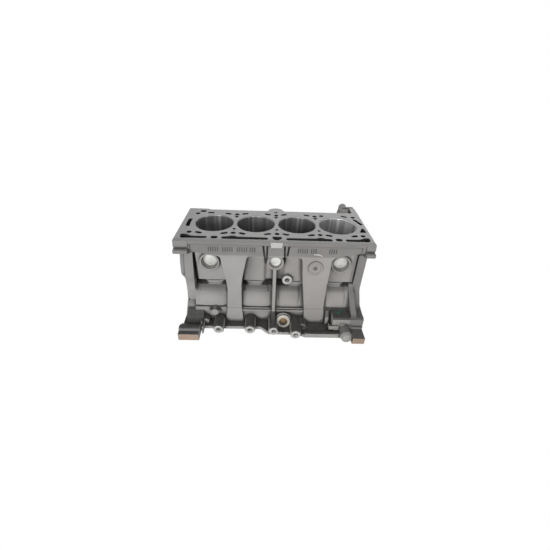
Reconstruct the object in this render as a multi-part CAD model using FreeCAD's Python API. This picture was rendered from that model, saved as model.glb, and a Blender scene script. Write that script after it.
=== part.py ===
import FreeCAD, Part
import math
import os

# Cylinders and crankshaft line (millimetres, X along the crankshaft, Z up to the head face)
bore_dia = 79.5
bore_pitch = 88.0
bore_x = [-1.5 * bore_pitch, -0.5 * bore_pitch, 0.5 * bore_pitch, 1.5 * bore_pitch]
bearing_x = [-2.0 * bore_pitch, -bore_pitch, 0.0, bore_pitch, 2.0 * bore_pitch]
deck_height = 200.0
tunnel_dia = 58.0

# Overall outline of the head face
gearbox_end = -199.5
timing_end = 193.0
front_deck = -84.0
rear_deck = 71.0

# Water jacket and barrels
barrel_radius = 45.0
jacket_radius = 54.5
jacket_wall_radius = 59.5
jacket_wall_face = -59.5
jacket_floor = 100.0
jacket_roof = deck_height - 12.0
barrel_foot = 70.0
wall_foot = 94.0
barrel_skirt_radius = 53.0

# Crankcase
case_radius = 95.0
case_half_width = 90.0
bulge_foot = 40.0
pillow_height = 2.6
pillow_shift = 28.0
bay_radius = 88.0
bay_half_width = 83.0
web_thickness = 12.0
saddle_thickness = 22.0
flange_inner_left = -172.0
flange_inner_right = 175.0
rail_thickness = 7.5

# Front wall
band_face = -82.5
column_top_face = -82.5
column_foot_face = -97.0

# Main bearing caps and their bolts
cap_thickness = 21.0
cap_half_width = 60.0
cap_seat_depth = 36.0
cap_depth = 46.0
cap_bolt_y = 44.0
cap_bolt_dia = 11.0
cap_bolt_hole = 12.0
cap_bolt_depth = 58.0

# Head bolts and dowels
head_bolt_y = 46.0
head_bolt_dia = 10.2
head_bolt_depth = 92.0
head_bore_dia = 12.4
dowel_outer = 13.0
dowel_inner = 10.5
dowel_proud = 8.0
timing_dowel_outer = 10.0
timing_dowel_inner = 6.0
timing_dowel_proud = 6.0
gearbox_dowel_depth = 10.0
timing_dowel_depth = 9.0
dowel_groove = 1.0

# Core plugs
plug_outer_radius = 17.0
side_plug_x = 137.5
side_plug_z = 141.0
side_plug_face = -65.0
centre_plug_x = -1.5
centre_plug_z = 151.5
centre_plug_face = -79.0
centre_plug_radius = 13.0
rear_plug_x = 44.0
plug_depth = 9.0
centre_plug_depth = 8.0

# Bracket bosses along the front foot: x, z, face y
bracket_bosses = [(-119.0, 12.5, -130.0), (-52.0, 12.5, -130.0), (-1.0, 12.5, -133.0), (45.5, 12.0, -142.0)]
bracket_boss_radius = 11.5
bracket_ring_radius = 10.0
bracket_hole_dia = 8.5
bracket_hole_depth = 24.0

# Knock sensor boss on the third barrel: place and face
sensor_x = 25.8
sensor_z = 100.0
sensor_face = -66.5

# Large screw plug of the front foot, tilted upwards
screw_plug_x = 20.0
screw_plug_y = -101.0
screw_plug_z = 16.0
screw_plug_tilt = 14.0
screw_plug_head = 15.5
screw_plug_gap = 0.4

# Main oil gallery
gallery_y = 66.0
gallery_z = 84.0
gallery_dia = 14.0

# Oil seal seats
seal_radius_gearbox = 48.0
seal_depth_gearbox = 11.0
seal_radius_timing = 36.0
seal_depth_timing = 6.0
seal_screw_depth_gearbox = 16.0
seal_screw_depth_timing = 10.0

# Bolts and dowels of the two end faces: y, z
gearbox_bolts = [(-74.0, deck_height - 13.0), (74.0, deck_height - 13.0), (-128.0, 11.0), (128.0, 11.0)]
gearbox_dowels_at = [(-50.0, deck_height - 28.0), (92.0, 18.0)]
timing_bolts = [(-60.0, deck_height - 14.0), (60.0, deck_height - 14.0), (-30.0, deck_height - 24.0),
                (30.0, deck_height - 24.0), (-98.0, 16.0), (98.0, 16.0)]
timing_dowels_at = [(-80.0, 22.0), (80.0, 22.0)]
timing_bolt_depth = 18.0

# Sump screws: half spacings along and across
sump_screw_x = [44.0, 88.0, 134.0, 171.0]
sump_screw_y = 101.0

# Oil filter pad and engine mount bosses on the rear wall: x, z
filter_screws = [(-72.0, 40.0), (-20.0, 40.0), (-72.0, 92.0), (-20.0, 92.0)]
mount_bosses = [(66.0, 44.0), (106.0, 44.0), (66.0, 86.0), (106.0, 86.0)]

# Coolant pump housing at the timing end
pump_y = 106.0
pump_z = deck_height - 37.0
pump_outer = 33.0
pump_inner = 27.0
pump_back = 160.0

X_AXIS = FreeCAD.Vector(1, 0, 0)
Y_AXIS = FreeCAD.Vector(0, 1, 0)
Z_AXIS = FreeCAD.Vector(0, 0, 1)


def point(x, y, z):
    return FreeCAD.Vector(x, y, z)


def box(x0, x1, y0, y1, z0, z1):
    return Part.makeBox(x1 - x0, y1 - y0, z1 - z0, point(x0, y0, z0))


def rod_x(x0, x1, y, z, radius):
    return Part.makeCylinder(radius, x1 - x0, point(x0, y, z), X_AXIS)


def rod_y(x, y0, y1, z, radius):
    return Part.makeCylinder(radius, y1 - y0, point(x, y0, z), Y_AXIS)


def rod_z(x, y, z0, z1, radius):
    return Part.makeCylinder(radius, z1 - z0, point(x, y, z0), Z_AXIS)


# Closed outline through flat points (a, b) or (a, b, own corner radius)
def outline(points, radius, place):
    count = len(points)
    corners = []
    for i in range(count):
        here = points[i]
        before = points[i - 1]
        after = points[(i + 1) % count]
        own = here[2] if len(here) > 2 else radius
        ax, ay = before[0] - here[0], before[1] - here[1]
        bx, by = after[0] - here[0], after[1] - here[1]
        la, lb = math.hypot(ax, ay), math.hypot(bx, by)
        ax, ay, bx, by = ax / la, ay / la, bx / lb, by / lb
        half = math.acos(max(-1.0, min(1.0, ax * bx + ay * by))) / 2.0
        if own < 0.05 or half > 1.55:
            corners.append([place(here[0], here[1])])
            continue
        run = min(own / math.tan(half), 0.46 * la, 0.46 * lb)
        turn = run * math.tan(half)
        mx, my = ax + bx, ay + by
        lm = math.hypot(mx, my)
        reach = turn / math.sin(half) - turn
        corners.append([place(here[0] + ax * run, here[1] + ay * run),
                        place(here[0] + mx / lm * reach, here[1] + my / lm * reach),
                        place(here[0] + bx * run, here[1] + by * run)])
    edges = []
    for i in range(count):
        here = corners[i]
        after = corners[(i + 1) % count]
        if len(here) == 3:
            edges.append(Part.Arc(here[0], here[1], here[2]).toShape())
        if here[-1].distanceToPoint(after[0]) > 1e-6:
            edges.append(Part.makeLine(here[-1], after[0]))
    return Part.Face(Part.Wire(edges))


def prism_x(points, x0, x1, radius=0.0):
    return outline(points, radius, lambda y, z: point(x0, y, z)).extrude(point(x1 - x0, 0, 0))


def prism_y(points, y0, y1, radius=0.0):
    return outline(points, radius, lambda x, z: point(x, y0, z)).extrude(point(0, y1 - y0, 0))


def prism_z(points, z0, z1, radius=0.0):
    return outline(points, radius, lambda x, y: point(x, y, z0)).extrude(point(0, 0, z1 - z0))


def slot_z(x, y, length, width, angle, z0, z1):
    half = (length - width) / 2.0
    ca, sa = math.cos(math.radians(angle)), math.sin(math.radians(angle))
    r = width / 2.0

    def at(along, across):
        return point(x + along * ca - across * sa, y + along * sa + across * ca, z0)

    edges = [Part.makeLine(at(-half, -r), at(half, -r)),
             Part.Arc(at(half, -r), at(half + r, 0.0), at(half, r)).toShape(),
             Part.makeLine(at(half, r), at(-half, r)),
             Part.Arc(at(-half, r), at(-half - r, 0.0), at(-half, -r)).toShape()]
    return Part.Face(Part.Wire(edges)).extrude(point(0, 0, z1 - z0))


def joined(shapes):
    return shapes[0].fuse(shapes[1:])


# Cylinder bank: scalloped wall around the water jacket
def cylinder_bank():
    solids = []
    front = [(-167.0, -40.0), (-167.0, -59.5, 3.0), (-108.0, -59.5, 5.0), (-88.0, -54.0), (-66.0, -59.5, 5.0),
             (-25.0, -59.5, 4.0), (-19.0, -53.5, 5.0), (15.0, -53.5, 5.0), (21.0, -59.5, 4.0), (66.0, -59.5, 5.0),
             (88.0, -54.0), (108.0, -59.5, 5.0), (170.0, -59.5, 3.0), (170.0, -40.0)]
    solids.append(prism_z(front, wall_foot, deck_height))
    solids.append(box(bore_x[0], bore_x[-1], -51.0, 51.0, wall_foot, deck_height))
    for x in bore_x:
        wall = rod_z(x, 0.0, wall_foot, deck_height, jacket_wall_radius)
        wall = wall.common(box(x - 60.0, x + 60.0, -jacket_wall_radius + 0.4, 60.0, wall_foot, deck_height))
        solids.append(wall)
        skirt = rod_z(x, 0.0, 62.0, wall_foot + 4.0, barrel_skirt_radius)
        solids.append(skirt.common(box(x - 60.0, x + 60.0, -60.0, 0.0, 60.0, deck_height)))
    solids.append(box(flange_inner_left - 5, flange_inner_right + 5, -32.0, 46.0, 70.0, deck_height))
    solids.append(box(flange_inner_left - 5, flange_inner_right + 5, -46.0, 46.0, wall_foot, deck_height))
    for x in (-bore_pitch, bore_pitch):
        solids.append(box(x - 12.0, x + 12.0, -47.0, -30.0, 72.0, wall_foot + 1.0))
    return joined(solids)


# Head face plate with its front band
def deck_plate():
    plan = [(gearbox_end, front_deck), (timing_end, front_deck), (timing_end, rear_deck),
            (19.0, rear_deck, 4.0), (13.0, 84.0, 5.0), (4.0, 88.0, 4.0), (-4.0, 88.0, 4.0),
            (-13.0, 84.0, 5.0), (-19.0, rear_deck, 4.0), (-152.0, rear_deck, 3.0),
            (-156.0, 75.0, 3.0), (gearbox_end, 75.0)]
    lip = prism_z(plan, jacket_roof, deck_height)
    cuts = []
    top = deck_height
    cuts.append(prism_y([(-169.0, top - 7.0), (-169.0, top - 30.0), (-115.0, top - 40.0), (-21.0, top - 40.0),
                         (-22.0, top - 29.0, 2.0), (-25.0, top - 7.0)], front_deck - 1, band_face))
    cuts.append(prism_y([(23.5, top - 7.0), (20.0, top - 29.0, 2.0), (19.0, top - 40.0), (118.0, top - 40.0),
                         (168.0, top - 28.0), (168.0, top - 7.0)], front_deck - 1, band_face))
    cuts.append(prism_y([(-18.0, top - 7.0), (-12.0, top - 7.0), (-12.0, top - 11.5), (10.0, top - 11.5),
                         (10.0, top - 7.0), (16.0, top - 7.0), (18.5, top - 40.0), (-20.5, top - 40.0)],
                        front_deck - 1, band_face))
    for side, x in ((-1.0, -2.0), (1.0, -1.0)):
        cuts.append(prism_y([(x + side * 27.0, top - 7.5), (x + side * 22.6, top - 7.5), (x + side * 20.2, top - 29.0),
                             (x + side * 19.0, top - 38.0), (x + side * 22.8, top - 38.0)],
                            front_deck - 1, band_face + 6.0))
        cuts.append(prism_y([(x + side * 18.4, top - 7.5), (x + side * 14.6, top - 7.5), (x + side * 15.6, top - 38.0),
                             (x + side * 18.4, top - 38.0), (x + side * 18.8, top - 29.0)],
                            front_deck - 1, band_face + 6.0))
    band = prism_y([(-176.0, top), (-176.0, top - 22.5), (-168.0, top - 24.0, 3.0), (-115.0, top - 32.5, 5.0),
                    (-30.0, top - 32.0), (-19.0, top - 34.0), (16.0, top - 34.0), (30.0, top - 32.0),
                    (117.0, top - 32.0, 5.0), (165.0, top - 21.0, 5.0), (178.0, top - 19.0), (178.0, top)],
                   front_deck, -48.0)
    rear = prism_y([(-160.0, top), (-160.0, top - 22.0), (-116.0, top - 28.0), (-60.0, top - 28.0),
                    (-20.0, top - 20.0), (20.0, top - 20.0), (60.0, top - 28.0), (116.0, top - 28.0),
                    (160.0, top - 20.0), (178.0, top - 20.0), (178.0, top)], 48.0, 69.0)
    plate = lip.fuse([band, rear])
    return plate.cut(cuts)


# Sloping front columns that carry the oil return to the crankcase
def front_columns():
    top = deck_height - 32.0
    wedge = prism_x([(-40.0, top + 28.0), (column_top_face, top + 26.0), (column_top_face, top - 1.0),
                     (column_foot_face, 7.0), (-40.0, 0.0)], -174.0, 177.0)
    left = prism_y([(-124.0, top + 22.0), (-124.0, top), (-112.0, top - 2.0, 8.0), (-106.0, 130.0, 30.0),
                    (-101.9, 110.0, 30.0), (-100.0, 92.0, 20.0), (-102.2, 43.0, 20.0), (-107.5, 0.0),
                    (-66.8, 0.0), (-71.0, 43.0, 20.0), (-71.4, 90.0, 20.0), (-70.5, 110.0, 30.0),
                    (-65.0, 137.0, 30.0), (-59.0, top - 2.0, 8.0), (-48.0, top), (-48.0, top + 22.0)], -120.0, 0.0)
    right = prism_y([(42.0, top + 22.0), (42.0, top), (52.6, top - 4.0, 8.0), (55.8, 119.0, 30.0),
                     (58.0, 104.0, 30.0), (64.5, 43.0, 20.0), (68.0, 0.0), (112.8, 0.0), (106.9, 50.0, 20.0),
                     (108.2, 104.0, 20.0), (110.9, 142.0, 20.0), (112.0, top - 6.0, 8.0), (118.0, top),
                     (118.0, top + 22.0)], -120.0, 0.0)
    rib = prism_x([(-50.0, 140.0), (-78.0, 138.0), (-90.0, 92.0), (-96.5, 38.0, 8.0), (-108.0, 28.0, 8.0),
                   (-129.0, 23.0), (-129.0, 12.0), (-50.0, 12.0)], -5.5, 1.0)
    return wedge.common(left.fuse(right)), rib


# Crankcase half cylinder with its lower walls
def crankcase():
    shell = rod_x(flange_inner_left, flange_inner_right, 0.0, 0.0, case_radius)
    shell = shell.common(box(-200.0, 200.0, -case_radius, case_radius, bulge_foot, case_radius))
    walls = box(flange_inner_left, flange_inner_right, -case_half_width, case_half_width, 0.0, bulge_foot + 2.0)
    walls = walls.common(rod_x(-200.0, 200.0, 0.0, 0.0, 101.0))
    link = rod_x(flange_inner_left - 5, flange_inner_right + 5, 0.0, 0.0, 76.0)
    link = link.common(box(-200.0, 200.0, -38.0, 60.0, 0.0, case_radius))
    return shell.fuse([walls, link])


# Pillow between two ribs: a barrel whose axis lies nearer the front, so that its edges run out softly
def pillow(x0, x1):
    turn = math.radians(46.0)
    radius = case_radius + pillow_height - pillow_shift
    y = -pillow_shift * math.cos(turn)
    z = pillow_shift * math.sin(turn)
    profile = outline([(x0, 20.0), (x0, radius, 13.0), (x1, radius, 13.0), (x1, 20.0)], 0.0,
                      lambda along, away: point(along, y - away, z))
    barrel = profile.revolve(point(0.0, y, z), X_AXIS, 360.0)
    return barrel.common(box(x0 - 1.0, x1 + 1.0, -100.0, -26.0, bulge_foot + 1.0, case_radius + 2.0))


def bulge_pads():
    return [pillow(-169.0, -98.0), pillow(-73.0, -8.0), pillow(2.5, 60.0), pillow(104.0, 162.0)]


# Foot rails around the open underside
def rails():
    front = prism_z([(-190.0, -70.0), (-190.0, -106.0), (-157.0, -114.0), (-29.0, -114.0, 8.0),
                     (-13.0, -129.0, 8.0), (52.0, -130.0, 6.0), (66.0, -137.0, 6.0), (146.0, -137.0, 8.0),
                     (160.0, -124.0, 6.0), (188.0, -124.0), (188.0, -70.0)], 0.0, rail_thickness)
    lip = prism_z([(62.0, -130.0), (66.0, -137.0, 6.0), (146.0, -137.0, 8.0), (152.0, -130.0)], 0.0, 11.0)
    rear = prism_z([(-190.0, 70.0), (188.0, 70.0), (188.0, 108.0, 4.0), (-190.0, 108.0, 4.0)],
                   0.0, rail_thickness + 1.5)
    return [front, lip, rear]


# Thin horizontal rib along the front wall and along the rear wall
def wall_ribs():
    ribs = [box(-104.0, 106.0, -92.5, -70.0, 33.5, 38.0)]
    for x in (-132.0, -44.0, 44.0, 110.0):
        ribs.append(box(x - 3.0, x + 3.0, 60.0, 103.0, 0.0, 46.0))
    return ribs


# Gearbox end flange
def gearbox_flange():
    top = deck_height
    front = [(20.0, top), (-84.0, top, 0.0), (-86.5, top - 12.5, 1.5), (-83.0, top - 14.0, 0.6),
             (-84.0, top - 16.0, 0.6), (-95.0, top - 18.0, 3.0), (-92.0, top - 25.0, 3.0),
             (-60.0, top - 37.0, 6.0), (-52.0, top - 44.0, 6.0), (-60.0, 134.0, 20.0),
             (-64.0, 110.0, 12.0), (-42.0, 83.0, 16.0), (-40.0, 53.0, 30.0), (-46.0, 31.0, 20.0),
             (-58.0, 20.0, 10.0), (-75.0, 4.0, 6.0), (-106.0, 4.0, 4.0), (-106.0, 0.0), (20.0, 0.0)]
    ramp = [(20.0, 47.0), (-42.0, 47.0, 10.0), (-78.0, 38.5, 20.0), (-90.0, 33.0, 8.0), (-106.0, 18.0, 10.0),
            (-114.0, 18.0), (-114.0, 0.0), (20.0, 0.0)]
    panel = [(-30.0, 160.0), (-57.0, 160.0), (-64.0, 136.0, 10.0), (-71.5, 104.0, 12.0), (-72.3, 72.0, 1.0),
             (-30.0, 72.0)]
    rear = [(20.0, 0.0), (126.0, 0.0, 2.0), (128.0, 20.0, 6.0), (116.0, 34.0, 8.0), (84.0, 46.0, 14.0),
            (66.0, 76.0, 16.0), (70.0, 104.0, 14.0), (64.0, 130.0, 14.0), (62.0, top - 42.0, 8.0), (84.0, top - 28.0, 8.0),
            (88.0, top - 16.0, 5.0), (75.0, top, 0.0), (20.0, top)]
    return [prism_x(front, gearbox_end, flange_inner_left), prism_x(rear, gearbox_end, flange_inner_left),
            prism_x(ramp, gearbox_end + 10.0, -154.0), prism_x(panel, gearbox_end + 10.0, flange_inner_left)]


# Timing end flange
def timing_flange():
    top = deck_height
    front = [(20.0, top), (-84.0, top, 0.0), (-86.5, top - 12.5, 1.5), (-83.0, top - 14.0, 0.6),
             (-84.0, top - 16.0, 0.6), (-95.0, top - 18.0, 3.0), (-92.0, top - 25.0, 3.0),
             (-62.0, top - 35.0, 6.0), (-53.0, top - 42.0, 6.0), (-53.0, 70.0, 16.0),
             (-76.0, 43.0, 8.0), (-110.0, 36.0, 6.0), (-120.0, 18.0, 5.0), (-122.0, 0.0, 2.0), (20.0, 0.0)]
    rear = [(20.0, 0.0), (112.0, 0.0, 2.0), (114.0, 22.0, 8.0), (88.0, 48.0, 14.0), (72.0, 78.0, 14.0),
            (76.0, 120.0, 10.0), (100.0, top - 66.0, 20.0), (106.0, top - 50.0), (71.0, top, 0.0), (20.0, top)]
    return [prism_x(front, flange_inner_right, timing_end, 0.0), prism_x(rear, flange_inner_right, timing_end, 0.0)]


# Corner feet beside the flanges
def feet():
    left = prism_x([(-80.0, 0.0), (-150.0, 0.0, 1.5), (-150.0, 17.4, 1.5), (-141.0, 18.2, 2.0),
                    (-138.0, 23.0, 2.5), (-134.0, 24.6, 2.5), (-128.0, 23.0, 4.0), (-114.0, 14.0, 6.0), (-104.0, 4.0),
                    (-80.0, 4.0)], gearbox_end, -157.5)
    edge = prism_x([(-90.0, 0.0), (-121.0, 0.0, 1.0), (-117.0, 22.0, 2.0), (-111.0, 24.0, 3.0), (-90.0, 12.0)],
                   -158.5, -155.0)
    right = prism_x([(-80.0, 0.0), (-154.0, 0.0, 1.5), (-154.0, 16.0, 1.5), (-126.0, 16.0), (-80.0, 16.0)],
                    165.0, timing_end - 2.5)
    rear_left = prism_x([(80.0, 0.0), (138.0, 0.0, 2.0), (138.0, 16.0, 4.0), (122.0, 26.0, 6.0), (80.0, 30.0)],
                        gearbox_end, -165.0)
    rear_right = prism_x([(80.0, 0.0), (124.0, 0.0, 2.0), (124.0, 12.0, 4.0), (110.0, 20.0, 6.0), (80.0, 24.0)],
                         166.0, timing_end)
    return [left, edge, right, rear_left, rear_right]


# Bracket block at the timing side of the front foot
def front_bracket_block():
    upper = prism_x([(-60.0, 4.0), (-60.0, 40.5), (-117.0, 40.5, 1.5), (-120.5, 37.0, 1.5), (-120.5, 6.0, 1.5),
                     (-114.0, 4.0)], 125.5, timing_end - 1.0)
    web = prism_x([(-50.0, 30.0), (-50.0, 84.0), (-56.0, 76.0, 12.0), (-116.0, 42.5), (-116.0, 30.0)], 165.0, 176.5)
    lug = prism_x([(-80.0, 6.0), (-80.0, 42.0), (-93.0, 41.0, 5.0), (-104.0, 26.0, 12.0), (-104.0, 6.0)],
                  113.0, 120.0)
    lower = box(127.0, timing_end - 2.0, -114.0, -60.0, 0.0, 24.0)
    disc = rod_y(141.0, -121.2, -100.0, 17.0, 13.5)
    dome = rod_y(152.5, -144.0, -100.0, 13.0, 11.5)
    shoulder = Part.makeCone(12.4, 10.2, 7.5, point(152.5, -144.0, 13.0), -Y_AXIS)
    crown = Part.makeCone(10.2, 4.2, 5.0, point(152.5, -151.5, 13.0), -Y_AXIS)
    return [upper, web, lug, lower, disc, dome, shoulder, crown]


# Bosses for the brackets along the front foot
def front_bosses():
    shapes = []
    for x, z, face in bracket_bosses:
        shapes.append(rod_y(x, face + 3.0, -80.0, z, bracket_boss_radius))
        shapes.append(Part.makeCone(bracket_ring_radius, bracket_boss_radius, 3.0, point(x, face, z), Y_AXIS))
        shapes.append(box(x - 9.0, x + 9.0, face + 6.0, -80.0, 0.0, z))
    shapes.append(rod_y(59.5, -118.0, -80.0, 11.0, 10.0))
    shapes.append(box(46.0, 69.5, -118.0, -80.0, 0.0, 11.0))
    shapes.append(Part.makeCone(7.0, 4.6, 6.0, point(62.5, -118.0, 10.0), -Y_AXIS))
    shapes.append(rod_y(-149.0, -107.0, -88.0, 15.0, 7.0))
    shapes.append(rod_y(-129.0, -101.0, -80.0, 36.0, 8.0))
    shapes.append(box(-140.0, -118.0, -98.0, -80.0, 32.5, 39.5))
    shapes.append(rod_y(sensor_x, sensor_face, -44.0, sensor_z, 11.0))
    tilt = math.radians(screw_plug_tilt)
    nose = FreeCAD.Vector(0, -math.cos(tilt), math.sin(tilt))
    root = point(screw_plug_x, screw_plug_y, screw_plug_z) - nose * 34.0
    shapes.append(Part.makeCylinder(18.0, 34.0, root, nose).common(box(-10.0, 60.0, -140.0, -50.0, 0.0, 60.0)))
    return shapes


# Core plug bosses in the front and rear walls
def core_bosses():
    shapes = []
    for x in (-side_plug_x, side_plug_x):
        shapes.append(rod_y(x, side_plug_face, -44.0, side_plug_z, plug_outer_radius + 3.5))
        shapes.append(rod_y(x, 44.0, -side_plug_face, side_plug_z, plug_outer_radius + 3.5))
    shapes.append(rod_y(centre_plug_x, centre_plug_face, -30.0, centre_plug_z, centre_plug_radius + 4.0))
    shapes.append(rod_y(rear_plug_x, 44.0, -side_plug_face, side_plug_z, plug_outer_radius + 3.5))
    shapes.append(rod_y(80.0, -90.0, -60.0, 145.0, 15.0).common(
        prism_x([(-40.0, deck_height), (column_top_face - 1.6, deck_height - 33.0),
                 (column_foot_face - 1.6, 7.0), (-40.0, 0.0)],
                60.0, 100.0)))
    return shapes


# Rear wall: oil column, gallery tube, filter pad, coolant pipe flange and drain boss
def rear_details():
    shapes = []
    shapes.append(prism_z([(-19.0, 40.0), (19.0, 40.0), (19.0, rear_deck, 4.0), (13.0, 84.0, 5.0),
                           (4.0, 88.0, 4.0), (-4.0, 88.0, 4.0), (-13.0, 84.0, 5.0), (-19.0, rear_deck, 4.0)],
                          60.0, deck_height - 10.0))
    shapes.append(rod_x(gearbox_end, timing_end, gallery_y, gallery_z, 14.0))
    shapes.append(box(flange_inner_left, flange_inner_right, 30.0, 60.0, 72.0, wall_foot + 2.0))
    shapes.append(prism_y([(-84.0, 28.0), (-8.0, 28.0), (-6.0, 64.0), (-10.0, 104.0), (-82.0, 104.0),
                           (-86.0, 64.0)], 50.0, 100.0, 12.0))
    shapes.append(prism_y([(60.0, 34.0), (112.0, 34.0), (112.0, 96.0), (60.0, 96.0)], 50.0, 84.0, 12.0))
    for x, z in mount_bosses:
        shapes.append(rod_y(x, 50.0, 96.0, z, 10.0))
    shapes.append(rod_y(-104.0, 40.0, 72.0, 118.0, 10.0))
    for x in (-88.0, 88.0):
        shapes.append(box(x - 13.0, x + 13.0, 40.0, 66.0, 80.0, deck_height - 14.0))
    shapes.append(prism_z([(-180.0, 40.0), (-150.0, 40.0), (-150.0, 70.0, 6.0), (-180.0, 74.0)], 60.0, deck_height - 10.0))
    return shapes


# Coolant pump housing behind the timing end
def pump_housing():
    drum = rod_x(pump_back, timing_end, pump_y, pump_z, pump_outer)
    top = deck_height
    web = prism_x([(50.0, top - 74.0), (100.0, top - 68.0), (100.0, top - 6.0), (84.0, top - 8.0, 8.0),
                   (50.0, top - 8.0)],
                  pump_back + 2.0, timing_end)
    tongue = prism_x([(60.0, top - 20.0), (60.0, top), (100.0, top), (104.0, top - 3.0), (121.0, top - 3.0, 2.0),
                      (121.0, top - 25.0)], 180.0, timing_end)
    ear = prism_y([(162.5, top - 38.0), (181.5, top - 38.0), (181.5, top - 2.0, 9.4), (162.5, top - 2.0, 9.4)],
                  112.0, 138.0)
    side = rod_x(timing_end - 16.0, timing_end, pump_y + 31.0, pump_z - 12.0, 8.0)
    return [drum, web, tongue, ear, side]


# Passages and bolt holes in the head face
def deck_openings():
    cuts = []
    deep = jacket_roof - 3.0
    for x in bearing_x:
        for y in (-head_bolt_y, head_bolt_y):
            cuts.append(rod_z(x, y, deck_height - head_bolt_depth, deck_height, head_bolt_dia / 2.0))
    for x in (-88.0, 0.0, 88.0):
        cuts.append(prism_z([(x - 6.0, 38.0), (x + 6.0, 38.0), (x, 27.0)], deep, deck_height, 1.6))
        cuts.append(rod_z(x, -27.5, deep, deck_height, 3.5))
    front = [(-157.0, -47.5, 160.0), (-106.0, -47.5, 20.0), (-70.0, -47.5, 160.0), (-19.0, -47.5, 20.0),
             (18.0, -47.5, 160.0), (70.0, -47.5, 20.0), (106.0, -47.5, 160.0), (158.0, -47.5, 20.0)]
    rear = [(-147.0, 52.0, 10.0), (-108.0, 49.0, 160.0), (-70.0, 51.0, 20.0), (-19.0, 51.0, 160.0),
            (18.0, 51.0, 20.0), (70.0, 51.0, 160.0), (156.0, 50.0, 150.0)]
    for x, y, turn in front + rear:
        cuts.append(slot_z(x, y, 15.0, 8.0, turn, deep, deck_height))
    cuts.append(rod_z(104.0, 50.0, deep, deck_height, 5.0))
    cuts.append(prism_z([(-190.0, -14.0), (-187.0, -20.0), (-181.0, -20.0), (-182.0, 0.0), (-181.0, 18.0),
                         (-187.0, 18.0), (-190.0, 12.0)], deep, deck_height, 3.0))
    cuts.append(prism_z([(171.0, 36.0), (179.0, 36.0), (190.0, 10.0), (184.0, 4.0)], deep, deck_height, 3.5))
    cuts.append(prism_z([(184.5, -4.0), (173.0, -30.0), (188.5, -30.0)], deep, deck_height, 2.5))
    return cuts


# Long pockets along the front edge of the head face and the oil holes at the rear
def edge_pockets():
    cuts = []
    floor = deck_height - 20.0
    cuts.append(prism_z([(-191.0, -55.0), (-181.0, -54.0), (-168.0, -62.0), (-137.0, -62.5), (-137.0, -71.0),
                         (-188.0, -72.0)], floor, deck_height, 4.0))
    cuts.append(slot_z(-123.0, -66.0, 14.0, 11.0, 0.0, floor, deck_height))
    cuts.append(prism_z([(-109.0, -62.5), (-97.0, -61.0), (-92.0, -57.5), (-84.0, -57.5), (-79.0, -61.0),
                         (-18.0, -62.5), (-18.0, -72.0), (-109.0, -72.0)], floor, deck_height, 4.0))
    cuts.append(prism_z([(-10.0, -57.5), (10.0, -57.5), (9.0, -66.0), (5.0, -72.0), (-5.0, -72.0),
                         (-9.0, -66.0)], floor, deck_height, 3.5))
    cuts.append(prism_z([(18.0, -62.5), (78.0, -61.0), (84.0, -57.5), (92.0, -57.5), (97.0, -61.0),
                         (110.0, -62.5), (110.0, -72.0), (18.0, -72.0)], floor, deck_height, 4.0))
    cuts.append(slot_z(123.0, -65.0, 14.0, 11.0, 0.0, floor, deck_height))
    cuts.append(prism_z([(136.0, -62.0), (166.0, -61.0), (178.0, -54.0), (186.0, -54.0), (186.0, -66.0),
                         (182.0, -71.5), (136.0, -71.5)], floor, deck_height, 4.0))
    for x in (-88.0, 85.0):
        cuts.append(slot_z(x, -67.0, 24.0, 10.0, 0.0, 46.0, floor + 1.0))
    cuts.append(rod_z(0.0, 63.0, gallery_z - 4.0, deck_height, 4.0))
    cuts.append(slot_z(-166.0, 60.0, 14.0, 10.0, 0.0, 46.0, deck_height))
    return cuts


# Cylinder bores with their lead-in chamfers
def bores():
    cuts = []
    for x in bore_x:
        cuts.append(rod_z(x, 0.0, barrel_foot - 1.0, deck_height + 1.0, bore_dia / 2.0))
        cuts.append(Part.makeCone(bore_dia / 2.0, bore_dia / 2.0 + 1.2, 1.2, point(x, 0.0, deck_height - 1.2)))
    return cuts


# Water jacket between barrels and wall
def water_jacket():
    outer = []
    for x in bore_x:
        outer.append(rod_z(x, 0.0, jacket_floor, jacket_roof, jacket_radius))
    for x in (-bore_pitch, 0.0, bore_pitch):
        outer.append(box(x - 12.0, x + 12.0, -36.0, 36.0, jacket_floor, jacket_roof))
    inner = [rod_z(x, 0.0, jacket_floor - 1.0, jacket_roof + 1.0, barrel_radius) for x in bore_x]
    inner.append(box(bore_x[0], bore_x[-1], -11.0, 11.0, jacket_floor - 1.0, jacket_roof + 1.0))
    jacket = joined(outer).cut(inner)
    return jacket


# Crank throw bays between the bearing bulkheads
def crank_bays():
    bays = []
    edge = web_thickness / 2.0
    limits = [(-165.0, -bore_pitch - edge), (-bore_pitch + edge, -edge), (edge, bore_pitch - edge),
              (bore_pitch + edge, 165.0)]
    for x0, x1 in limits:
        bay = rod_x(x0, x1, 0.0, 0.0, bay_radius)
        bay = bay.common(box(x0, x1, -bay_half_width, bay_half_width, -1.0, bay_radius))
        bays.append(bay)
        bays.append(box(x0, x1, -bay_half_width, bay_half_width, -1.0, 20.0))
    return bays


# Thick bearing saddles on the bulkheads
def saddles():
    pads = []
    half = saddle_thickness / 2.0
    for x in bearing_x:
        pad = rod_x(x - half, x + half, 0.0, 0.0, 49.0).common(box(x - half, x + half, -60.0, 60.0, 0.0, 60.0))
        pads.append(pad)
        pads.append(prism_x([(-60.0, 0.0), (-60.0, 52.0, 5.0), (-30.0, 60.0, 5.0), (30.0, 60.0, 5.0),
                             (60.0, 52.0, 5.0), (60.0, 0.0)], x - half, x + half))
    return pads


# Barrels standing down into the crankcase
def barrel_feet():
    return [rod_z(x, 0.0, barrel_foot, jacket_floor, barrel_radius) for x in bore_x]


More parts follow.
